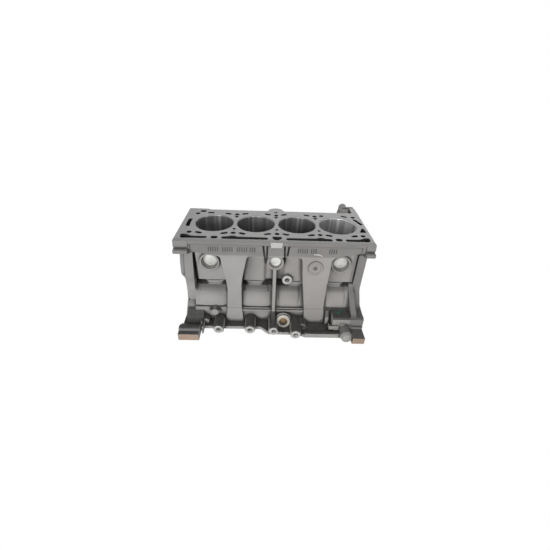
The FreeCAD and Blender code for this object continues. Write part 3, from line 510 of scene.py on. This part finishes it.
def scuffed_skin(f, skin):
    long_rub, short_rub = points((74.5, 175.2), (84.5, 174.8)), points((85.5, 173.8), (90.5, 172.2))
    rub = f.stroke(f.x, f.z, *long_rub, 0.9 * mm, 0.6 * mm)
    rub = rub.most(f.stroke(f.x, f.z, *short_rub, 0.7 * mm, 0.6 * mm))
    rub = rub * f.sand.ramp(0.35, 0.5) * f.y.fall(-82.0 * mm, -81.0 * mm)
    return f.mix(rub, skin, bare_iron)


def crayon_tick(f):
    corners = points((136.0, -94.5), (140.0, -104.0), (150.0, -88.0))
    u, v = f.x + f.lumps * wobble, f.y + f.lumps * wobble
    tick = any_of([f.stroke(u, v, start, end, 2.8 * mm, 0.8 * mm)
                   for start, end in zip(corners, corners[1:])])
    return tick * f.z.within(40.0 * mm, 41.2 * mm) * f.sand.ramp(0.30, 0.55)


# %% [markdown]
# ### The whole finish
# The colours are laid over each other by their masks. Iron shines where it was
# cut and is dull where it was cast. The relief is sand and lumps on the skin
# and fine lines on the cut faces. A Bevel node rounds the sharp edges of the
# CAD solids in the light, so the mesh itself needn't change.

# %% Iron on the casting and its caps
tan_light, tan_dark = (0.36, 0.265, 0.20), (0.29, 0.215, 0.165)


def iron(name):
    f = Iron(name)
    top, pad, bores = head_face(f), front_pad(f), bore_walls(f)
    rings, lead_ins = boss_faces(f)
    machined = any_of([top, end_and_sump_faces(f), pad, rings])
    metal = machined.most(bores)

    skin = painted_light_in_bays(f, painted_shade_and_seam(f, painted_ledge_and_corner_shade(f, foundry_skin(f))))
    skin = scuffed_skin(f, painted_shade_in_holes(f, skin, bores))
    colour = f.mix(machined, skin, milled_colour(f, top, pad, rings, lead_ins))
    colour = f.mix(bores, colour, honed_colour_and_painted_reflections(f))
    colour = f.mix(foot_faces(f), colour, f.mix(f.cloud.ramp(0.35, 0.65), tan_light, tan_dark))
    colour = f.mix(crayon_tick(f) * 0.85, colour, crayon)

    rough = (0.60 + f.sand * 0.12) * (1.0 - metal) + metal * 0.36
    grain = (f.sand * 0.5 + f.lumps * 0.8) * (1.0 - metal)
    tool_marks = f.streak * 0.04 * machined + crossed_lines(f) * 0.10 * bores
    relief = f.bump(0.55, 0.6 * mm, grain + tool_marks, 1.1 * mm)
    f.set(Base_Color=colour, Roughness=rough, Metallic=metal * 0.85, Normal=relief)
    f.shader.inputs["Specular IOR Level"].default_value = 0.35
    return f.material


def dress(names, material):
    for name in names:
        nodes[name].data.materials.clear()
        nodes[name].data.materials.append(material)
    print(material.name, "on", len(names))


block_iron = iron("block_iron")
dress(["engine_block"] + ["main_cap_%d" % i for i in range(1, 6)], block_iron)

# %% [markdown]
# ## Turned and pressed metal
# The small parts are turned, pressed or cut from bar, so they share one recipe:
# a base colour with painted shade in its corners, a little grain and a soft sheen.
# Their colours differ, because some are zinc plated, some tinned and some bare.


# %% Metal finish
def bright(name, colour, dark, rough, metallic):
    """The finish, with its place and base colour for what is laid over them."""
    f = Finish(name)
    at = f.place()
    fine = f.noise(at, 300.0, 4.0, 0.6)
    cloud = f.noise(at, 60.0, 3.0, 0.6)
    base = f.mix(cloud.ramp(0.3, 0.7) * 0.35, colour, dark)
    # Painted shade: the base colour darkens in the corners that the Ambient Occlusion node finds.
    base = f.mix((1.0 - f.nook(6, 4.0 * mm)).ramp(0.15, 0.6) * 0.8, base, dark)
    f.set(Base_Color=base, Roughness=rough + fine * 0.15, Metallic=metallic,
          Normal=f.bump(0.35, 0.3 * mm, fine, 0.5 * mm))
    return f, at, base


def plain(*settings):
    return bright(*settings)[0].material


phosphate = plain("black_phosphate", (0.055, 0.055, 0.058), (0.02, 0.02, 0.02), 0.42, 0.6)
ground = plain("ground_steel", (0.52, 0.51, 0.50), (0.15, 0.15, 0.15), 0.26, 0.95)
soft_ring = plain("soft_aluminium", (0.58, 0.58, 0.57), (0.20, 0.20, 0.20), 0.40, 0.8)
zinc = plain("zinc_plug", (0.50, 0.49, 0.45), (0.12, 0.11, 0.10), 0.42, 0.7)
dress(["main_cap_bolts"], phosphate)
dress(["gallery_plug_gearbox_end", "gallery_plug_timing_end"], ground)
dress(["gearbox_dowels", "timing_dowels"], ground)
dress(["screw_plug_ring"], soft_ring)
dress(["coolant_drain_plug"], zinc)

# %% [markdown]
# ## Screw plug
# A zinc plated plug closes the oil way. Its socket has lost the plating and
# shows a brassy stain, so the colour changes with the distance from its axis,
# which leans upwards by 14 degrees.

# %% Screw plug finish
lean = math.radians(14.0)
plug_x, plug_y, plug_z = 20.0 * mm, -101.0 * mm, 16.0 * mm
worn_zinc, brassy = (0.10, 0.07, 0.035), (0.34, 0.20, 0.075)

f, at, plated = bright("zinc_screw_plug", (0.47, 0.455, 0.41), (0.10, 0.095, 0.085), 0.42, 0.55)
x, y, z = f.split(at)
above_axis = (y - plug_y) * math.sin(lean) + (z - plug_z) * math.cos(lean)
away = ((x - plug_x) * (x - plug_x) + above_axis * above_axis).power(0.5)
in_socket = f.mix(away.fall(8.6 * mm, 9.4 * mm) * 0.8, plated, worn_zinc)
stain = f.noise(at, 260.0, 3.0, 0.6) * 0.4 + 0.55
f.set(Base_Color=f.mix(away.fall(5.2 * mm, 6.6 * mm) * stain, in_socket, brassy))
dress(["screw_plug"], f.material)

# %% [markdown]
# ## Turned shapes from one circle
# Core plugs, rims and rings are round, so each starts as a circle that is
# extruded ring by ring along its profile. The Screw modifier could turn the
# same profile, but the rings are closer to how a press works: a flat disc is
# drawn down at its rim, a little further each time.


# %% Helpers for pieces
def finish_piece(piece, name, material, angle=35.0):
    piece.name = name
    piece.data.name = name
    bpy.ops.object.select_all(action="DESELECT")
    piece.select_set(True)
    bpy.context.view_layer.objects.active = piece
    bpy.ops.object.transform_apply(location=True, rotation=True, scale=True)
    bpy.ops.object.shade_smooth_by_angle(angle=math.radians(angle))
    piece.data.materials.clear()
    piece.data.materials.append(material)
    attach(piece, "root")
    return piece


def aim(piece, place, turn):
    piece.location = [v * mm for v in place]
    piece.rotation_euler = turn
    return piece


def face_outwards():
    """Turns all faces of the piece in edit mode outwards, and leaves edit mode."""
    bpy.ops.mesh.select_all(action="SELECT")
    bpy.ops.mesh.normals_make_consistent(inside=False)
    bpy.ops.object.mode_set(mode="OBJECT")


# %% Lathe
def lathe(profile, segments=64):
    """A closed round piece on the z axis, from pairs of radius and height."""
    radius, height = profile[0]
    bpy.ops.object.select_all(action="DESELECT")
    bpy.ops.mesh.primitive_circle_add(vertices=segments, radius=radius * mm,
                                      location=(0.0, 0.0, height * mm))
    piece = bpy.context.object
    bpy.ops.object.transform_apply(location=True)
    bpy.ops.object.mode_set(mode="EDIT")
    bpy.ops.mesh.select_all(action="SELECT")
    for wider, higher in profile[1:]:
        step = (0.0, 0.0, (higher - height) * mm)
        bpy.ops.mesh.extrude_region_move(TRANSFORM_OT_translate={"value": step})
        size = wider / radius
        bpy.ops.transform.resize(value=(size, size, 1.0), center_override=(0.0, 0.0, 0.0))
        radius, height = wider, higher
    bpy.ops.mesh.select_all(action="SELECT")
    bpy.ops.mesh.fill_holes(sides=0)
    face_outwards()
    return piece


# %% [markdown]
# ## Core plugs
# The casting's sand core leaves holes in the walls, and pressed steel cups
# close them. A cup has a rounded rim, a straight wall that grips, and a floor
# with a shallow step. The CAD solid is a plainer cup with sharp corners, so
# this one replaces it. Its tinned floor is bright and its rim is dull with
# dirt, so the faces outside the floor get a second material.

# %% Core plug cups
wide_cup = [(0.4, -9.0), (15.2, -9.0), (16.5, -8.5), (17.0, -7.4), (17.0, -0.5),
            (16.7, 0.0), (15.7, 0.0), (15.2, -0.5), (15.1, -5.4), (14.6, -6.5), (13.6, -7.0),
            (12.6, -7.0), (11.8, -6.7), (5.0, -6.5), (0.4, -6.45)]
small_cup = [(0.4, -8.0), (11.4, -8.0), (12.6, -7.5), (13.0, -6.5), (13.0, -0.5),
             (12.7, 0.0), (11.7, 0.0), (11.2, -0.5), (11.1, -4.4), (10.6, -5.5), (9.7, -6.0),
             (8.0, -5.9), (0.4, -5.8)]
floor_edge = -5  # the ring of a profile where its bright floor ends
to_front = (math.radians(90.0), 0.0, 0.0)
to_rear = (math.radians(-90.0), 0.0, 0.0)
plugs = [("front_left", wide_cup, (-137.5, -62.0, 141.0), to_front),
         ("front_right", wide_cup, (137.5, -62.0, 141.0), to_front),
         ("front_centre", small_cup, (-1.5, -76.5, 151.5), to_front),
         ("rear_left", wide_cup, (-137.5, 62.0, 141.0), to_rear),
         ("rear_centre", wide_cup, (44.0, 62.0, 141.0), to_rear),
         ("rear_right", wide_cup, (137.5, 62.0, 141.0), to_rear)]
tinned = plain("tinned_plug", (0.715, 0.715, 0.695), (0.20, 0.20, 0.19), 0.38, 0.45)
dull_rim = plain("dull_plug_rim", (0.30, 0.29, 0.27), (0.06, 0.06, 0.055), 0.45, 0.6)

for name, cup, place, turn in plugs:
    piece = lathe(cup)
    floor_radius = cup[floor_edge][0] * mm
    rim_faces = [face.index for face in piece.data.polygons
                 if math.hypot(face.center.x, face.center.y) > floor_radius]
    finish_piece(aim(piece, place, turn), "pressed_cup_" + name, tinned)
    piece.data.materials.append(dull_rim)
    for index in rim_faces:
        piece.data.polygons[index].material_index = 1
    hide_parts("core_plug_" + name)
print("cups", len(plugs), "faces in the last", len(piece.data.polygons))

# %% [markdown]
# ## Threads
# A tap cuts the same groove turn after turn, which is what the Screw modifier
# does: it sweeps a V of two edges round the axis and up by one pitch a turn.
# The V is a small square stood on its corner, less the outer corner. Bump on a
# smooth hole would be lighter, but its rim would stay a plain circle.


# %% Thread liner
def pick_vertices(piece, wanted):
    """Leaves the piece in edit mode, with only the wanted vertices selected."""
    bpy.ops.object.mode_set(mode="EDIT")
    bpy.ops.mesh.select_all(action="DESELECT")
    bpy.ops.object.mode_set(mode="OBJECT")
    for vertex in piece.data.vertices:
        vertex.select = wanted(vertex.co)
    bpy.ops.object.mode_set(mode="EDIT")


def thread(radius, pitch, depth):
    bpy.ops.object.select_all(action="DESELECT")
    on_its_corner = (math.radians(90.0), math.radians(45.0), 0.0)
    bpy.ops.mesh.primitive_plane_add(size=pitch / math.sqrt(2.0) * mm, rotation=on_its_corner)
    piece = bpy.context.object
    bpy.ops.object.transform_apply(rotation=True)
    pick_vertices(piece, lambda at: at.x > pitch / 4 * mm)
    bpy.ops.mesh.delete(type="VERT")
    bpy.ops.mesh.select_all(action="SELECT")
    bpy.ops.transform.translate(value=(radius * mm, 0.0, -depth * mm))
    bpy.ops.object.mode_set(mode="OBJECT")
    bpy.ops.object.modifier_add(type="SCREW")
    sweep = piece.modifiers[-1]
    sweep.axis = "Z"
    sweep.angle = math.radians(360.0)
    sweep.screw_offset = pitch * mm
    sweep.iterations = int(depth / pitch)
    sweep.steps = sweep.render_steps = 28
    sweep.use_merge_vertices = True
    sweep.merge_threshold = 0.01 * mm
    bpy.ops.object.modifier_apply(modifier=sweep.name)
    return piece


# %% Threads in their holes
chamfer = 0.6
thread_pitch = 1.25
cut_thread = plain("cut_thread", (0.40, 0.395, 0.385), (0.035, 0.035, 0.035), 0.35, 0.8)
mount_bolts = [(66.0, 44.0), (106.0, 44.0), (66.0, 86.0), (106.0, 86.0)]
holes = [("bracket_%d" % (i + 1), (x, face + chamfer, z), 4.2, 20.0, to_front)
         for i, (x, z, face, _) in enumerate(bosses[:4])]
holes.append(("sensor", (25.8, -66.0, 100.0), 4.15, 11.0, to_front))
holes += [("mount_%d" % (i + 1), (x, 96.0 - chamfer, z), 4.15, 19.0, to_rear)
          for i, (x, z) in enumerate(mount_bolts)]

for name, place, radius, depth, turn in holes:
    piece = aim(thread(radius, thread_pitch, depth), place, turn)
    finish_piece(piece, "thread_" + name, cut_thread)
print("threads", len(holes), "faces in the last", len(piece.data.polygons))

# %% [markdown]
# ## Counting bars
# The pattern for the sand mould carries counting bars on the front band. They
# stand half a millimetre proud, with soft edges. One bevelled block is copied
# along the band, and each copy leans and shifts a little, because such pieces
# are fixed to the pattern by hand. They are geometry and not bump, because
# their edges catch the light.


# %% Helpers for blocks
def cube_between(low, high):
    bpy.ops.object.select_all(action="DESELECT")
    middle = [(a + b) / 2 * mm for a, b in zip(low, high)]
    bpy.ops.mesh.primitive_cube_add(size=1.0, location=middle)
    piece = bpy.context.object
    piece.scale = [(b - a) * mm for a, b in zip(low, high)]
    bpy.ops.object.transform_apply(location=True, scale=True)
    return piece


def round_edges(piece, width, segments):
    bpy.ops.object.modifier_add(type="BEVEL")
    rounding = piece.modifiers[-1]
    rounding.width = width * mm
    rounding.segments = segments
    bpy.ops.object.modifier_apply(modifier=rounding.name)


# %% Bars on the band
random.seed(11)
bar_size = (1.9, 1.5, 10.4)
bar_step = 4.4
bar_groups = [(-133.0, 5), (-105.0, 5), (-77.0, 5), (-52.0, 3), (42.0, 5), (68.0, 3), (104.0, 4)]
band_face, band_middle = -82.3, 182.8

bar = cube_between([-v / 2 for v in bar_size], [v / 2 for v in bar_size])
round_edges(bar, 0.35, 2)
bars = []
for first, count in bar_groups:
    for i in range(count):
        copy = bar.copy()
        copy.data = bar.data.copy()
        bpy.context.scene.collection.objects.link(copy)
        height = band_middle + random.uniform(-0.25, 0.25)
        tilt = math.radians(random.uniform(-4.0, 4.0))
        bars.append(aim(copy, (first + i * bar_step, band_face, height), (0.0, tilt, 0.0)))
bpy.data.objects.remove(bar)

# %% Bars joined to one piece
# The bars are coloured dark.
dark_cast = plain("dark_cast", (0.080, 0.078, 0.075), (0.03, 0.03, 0.03), 0.7, 0.0)
bpy.ops.object.select_all(action="DESELECT")
for copy in bars:
    copy.select_set(True)
bpy.context.view_layer.objects.active = bars[0]
bpy.ops.object.join()
finish_piece(bpy.context.object, "counting_bars", dark_cast)
print("bars", len(bars))

# %% [markdown]
# ## Medal
# The round medal on the right column is an insert that the pattern carries: a
# low ring with a centre. Both are turned like the cups. The column's face
# leans forward towards the foot, so they are turned by the same angle.

# %% Medal on the right column
medal_x, medal_z = 79.2, 145.0
column_top, column_face = 167.0, -82.5
column_slope = 14.5 / 160.0
proud = 1.6
medal_y = column_face - column_slope * (column_top - medal_z) - proud
tilted = (math.radians(90.0) - math.atan(column_slope), 0.0, 0.0)
rim_profile = [(13.4, -0.6), (13.4, 0.8), (12.8, 1.2), (11.6, 1.2), (11.1, 0.7), (10.9, -0.6)]
hub_profile = [(4.8, -0.6), (4.8, 0.9), (4.2, 1.4), (2.4, 1.4), (2.0, 0.3), (0.3, 0.3)]
# The hub is coloured dark.
dark_hub = plain("dark_hub", (0.185, 0.180, 0.172), (0.05, 0.05, 0.048), 0.65, 0.0)

rim = aim(lathe(rim_profile), (medal_x, medal_y, medal_z), tilted)
finish_piece(rim, "medal_rim", block_iron)
hub = aim(lathe(hub_profile, 32), (medal_x, medal_y, medal_z), tilted)
finish_piece(hub, "medal_hub", dark_hub)
print("medal at", round(medal_y, 2))

# %% [markdown]
# ## Pads on the barrels
# Between the ribs the crankcase wall carries a raised pad with soft edges,
# which the pattern maker adds for stiffness. It is a slice of a slightly
# bulged drum: the drum is turned like the cups, laid along the block, and a
# plane cuts off all that would lie inside the wall.

# %% Barrel pads
facing_up = math.radians(33.0)
pad_out = Vector((0.0, -math.cos(facing_up), math.sin(facing_up)))
barrel_axis = Vector((0.0, -19.45, 20.14))
drum_axis = barrel_axis + pad_out * 33.5
under_wall = barrel_axis + pad_out * 66.4
along_block = (0.0, math.radians(90.0), 0.0)
rounded_edge = [(34.6, 0.3), (36.1, 1.2), (36.9, 3.0), (37.4, 6.5), (37.9, 11.0), (38.1, 17.0)]


def barrel_pad(name, x_start, x_end):
    half = (x_end - x_start) / 2
    edge = [(32.5, half)] + [(radius, half - drawn_in) for radius, drawn_in in rounded_edge]
    profile = [(radius, -along) for radius, along in edge] + edge[::-1]
    piece = aim(lathe(profile, 192), ((x_start + x_end) / 2, *drum_axis[1:]), along_block)
    bpy.ops.object.transform_apply(location=True, rotation=True)
    bpy.ops.object.mode_set(mode="EDIT")
    bpy.ops.mesh.select_all(action="SELECT")
    bpy.ops.mesh.bisect(plane_co=under_wall * mm, plane_no=pad_out, use_fill=True,
                        clear_inner=True)
    face_outwards()
    print(name, len(piece.data.polygons), "faces", [round(v / mm, 1) for v in piece.dimensions])
    return finish_piece(piece, name, block_iron, 50.0)


barrel_pad("barrel_pad_1", -167.0, -104.0)
barrel_pad("barrel_pad_2", -70.0, -9.0)

# %% [markdown]
# ## Cheek, bracket steps and foot fin
# The gearbox flange runs into the first barrel with a cast cheek, which hides
# the bearing saddle behind it. The bracket block at the other end has a step
# and a small pad below its front edge, and a thin fin stiffens the left foot.
# Each starts as a block whose corners are rounded as the sand leaves them. The
# lower front edge of the cheek and of the fin is moved first, so that they
# follow the casting behind them.


# %% Cast blocks with rounded corners
def cast_block(name, low, high, rounding, drawn_in=0.0):
    piece = cube_between(low, high)
    near = [(v + 1.0) * mm for v in low]
    pick_vertices(piece, lambda at: at.y < near[1] and at.z < near[2])
    bpy.ops.transform.translate(value=(0.0, drawn_in * mm, 0.0))
    bpy.ops.object.mode_set(mode="OBJECT")
    round_edges(piece, rounding, 3)
    print(name, [round(v / mm, 1) for v in piece.dimensions])
    return finish_piece(piece, name, block_iron)


cast_block("flange_cheek", (-189.8, -69.0, 37.5), (-168.8, -31.0, 73.5), 2.2, drawn_in=4.0)
cast_block("bracket_step", (143.0, -125.5, 9.0), (191.5, -112.0, 21.5), 2.0)
cast_block("bracket_pad", (118.5, -124.0, 11.0), (141.5, -112.0, 22.5), 1.6)
cast_block("foot_fin", (-154.6, -128.0, 0.4), (-151.4, -104.0, 19.5), 1.0, drawn_in=-3.0)

# %% [markdown]
# ## Floor and surround
# A pale floor lies under the block, in a white surround. The white that the
# camera and the mirrors of the metal see comes from Light Path, so it adds no
# light to the casting. A brighter lamp would whiten the floor too, but it
# would wash out the iron.

# %% Floor
floor_clearance = 0.2 * mm
bpy.ops.object.select_all(action="DESELECT")
bpy.ops.mesh.primitive_plane_add(size=12.0, location=(0.0, 0.0, cad_box[0].z - floor_clearance))
floor = bpy.context.object
floor.name = "studio_floor"
bpy.ops.object.transform_apply(location=True)

paper = Finish("floor_paper")
glow = paper.add("ShaderNodeEmission", None, {"Color": (1.0, 1.0, 1.0), "Strength": 1.0})
own = Wire(paper, paper.shader.outputs[0])
either = paper.add("ShaderNodeMixShader", None, {0: paper.seen(), 1: own, 2: glow})
paper.feed(paper.tree.nodes["Material Output"].inputs["Surface"], either)
paper.set(Base_Color=(0.90, 0.90, 0.89), Roughness=0.9)
floor.data.materials.append(paper.material)
print("floor at", round(cad_box[0].z - floor_clearance, 4))

# %% Surround
weak_light, full_white = 0.16, 1.0
world = bpy.data.worlds.new("studio_surround")
bpy.context.scene.world = world
world.use_nodes = True
surround = NodeTree(world.node_tree)
background = surround.tree.nodes["Background"]
levels = {"Value": surround.seen(), "To Min": weak_light, "To Max": full_white}
level = surround.add("ShaderNodeMapRange", None, levels, "Result")
surround.feed(background.inputs["Color"], (1.0, 1.0, 1.0))
surround.feed(background.inputs["Strength"], level)
print("surround lights with", weak_light)

# %% [markdown]
# ## Lamps
# The main lamp is a large softbox, low and in front, which lights the wall and
# leaves the ledges dark. Weaker ones above, behind and at the right lift the
# head face, the rear wall and the bracket. Large lamps give soft edges to the
# shadows, which a point or a sun lamp wouldn't.


# %% Lamps
def soft_lamp(name, place, target, size, power):
    data = bpy.data.lights.new(name, "AREA")
    data.shape = "RECTANGLE"
    data.size, data.size_y = size
    data.energy = power
    lamp = bpy.data.objects.new(name, data)
    bpy.context.scene.collection.objects.link(lamp)
    lamp.location = place
    lamp.rotation_euler = (Vector(target) - Vector(place)).to_track_quat("-Z", "Y").to_euler()
    print(name, power, "W")


middle = (cad_box[0] + cad_box[1]) / 2
bracket_corner = (0.14, 0.0, 0.15)
soft_lamp("front_softbox", (-0.8, -2.1, 0.72), middle, (2.0, 0.9), 44.0)
soft_lamp("top_softbox", (0.3, 0.5, 2.2), middle, (1.6, 1.6), 3.0)
soft_lamp("rear_softbox", (0.5, 2.2, 0.16), middle, (1.8, 0.4), 16.0)
soft_lamp("right_softbox", (0.75, -0.55, 1.5), bracket_corner, (0.5, 0.5), 6.0)

# %% [markdown]
# ## Camera
# The photograph was matched by its bore row: the view comes from the front,
# a little left, and looks down by about 35 degrees. Three angles are turned
# into the camera's own axes, because a track constraint would keep it level
# and the photograph is tilted by a few degrees.

# %% Camera
yaw, pitch, roll = (math.radians(v) for v in (-2.4025, 34.708, -2.622))
camera_place = Vector((-22.573, -582.047, 470.829)) * mm
ahead = Vector((-math.sin(yaw) * math.cos(pitch), math.cos(yaw) * math.cos(pitch),
                -math.sin(pitch)))
right = Vector((math.cos(yaw), math.sin(yaw), 0.0))
down = ahead.cross(right)
right_turned = right * math.cos(roll) + down * math.sin(roll)
down_turned = down * math.cos(roll) - right * math.sin(roll)
turn = Matrix((right_turned, -down_turned, -ahead)).transposed().to_4x4()

camera = bpy.data.objects.new("camera", bpy.data.cameras.new("camera"))
bpy.context.scene.collection.objects.link(camera)
camera.matrix_world = Matrix.Translation(camera_place) @ turn
camera.data.lens = 19.3024
camera.data.clip_start = 0.01
bpy.context.scene.camera = camera
bpy.context.scene.view_settings.view_transform = "Standard"
print("camera at", [round(v, 3) for v in camera.location])
